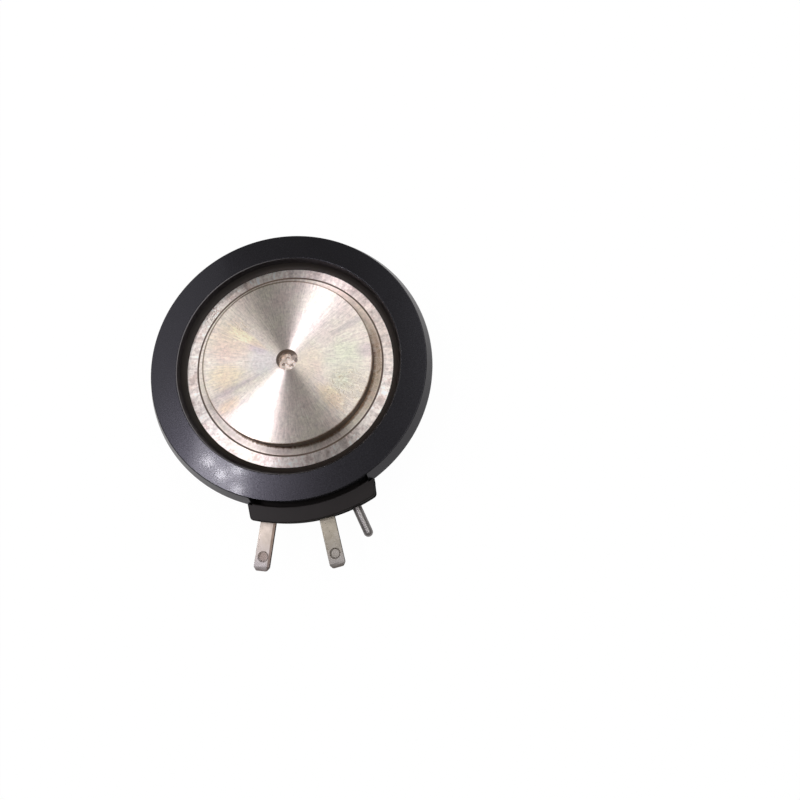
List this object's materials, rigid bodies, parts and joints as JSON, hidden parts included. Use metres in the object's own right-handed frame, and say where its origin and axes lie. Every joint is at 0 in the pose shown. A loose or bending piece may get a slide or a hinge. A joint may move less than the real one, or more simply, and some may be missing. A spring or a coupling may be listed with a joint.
{
  "type": "disc thyristor",
  "caption": "Flat disc thyristor in a moulded plastic ring case, with plated contact faces on both sides and a side block of flat terminal tabs and a round pin.",
  "frame": {"origin": "middle of the lower (anode) contact face, on the disc's axis", "axes": "+Z along the disc's axis from the anode face to the cathode face; -Y to the middle of the terminal block; +X completes the right hand"},
  "size_m": [0.058, 0.0702, 0.014],
  "materials": {
    "case_plastic": "fine moulded grain",
    "block_plastic": "matt moulded",
    "pole_plate": "turned and nickel plated",
    "flange_plate": "blasted and nickel plated",
    "sealant": "satin silicone",
    "silicon": "lapped",
    "molybdenum": "ground",
    "edge_rubber": "translucent silicone",
    "ring_plastic": "smooth fluoropolymer",
    "gate_gold": "gold flashed",
    "spring_steel": "bright",
    "cup_plastic": "smooth",
    "wire_copper": "drawn",
    "sleeve_plastic": "smooth fluoropolymer",
    "gate_tab_plate": "dull tinned",
    "cathode_tab_plate": "bright tinned",
    "pin_steel": "drawn"
  },
  "bodies": {
    "root": {"housing_ring": "case_plastic", "terminal_block": "block_plastic", "cathode_pole": "pole_plate", "anode_pole": "pole_plate", "cathode_flange": "flange_plate", "anode_flange": "flange_plate", "cathode_seal": "sealant", "anode_seal": "sealant", "silicon_wafer": "silicon", "anode_molybdenum_disc": "molybdenum", "cathode_molybdenum_disc": "molybdenum", "wafer_edge_seal": "edge_rubber", "centring_ring": "ring_plastic", "gate_contact_pin": "gate_gold", "gate_spring": "spring_steel", "gate_insulator": "cup_plastic", "gate_lead": "wire_copper", "gate_lead_sleeve": "sleeve_plastic", "cathode_lead": "wire_copper", "gate_tab": "gate_tab_plate", "cathode_tab": "cathode_tab_plate", "locating_pin": "pin_steel"}
  },
  "joints": []
}
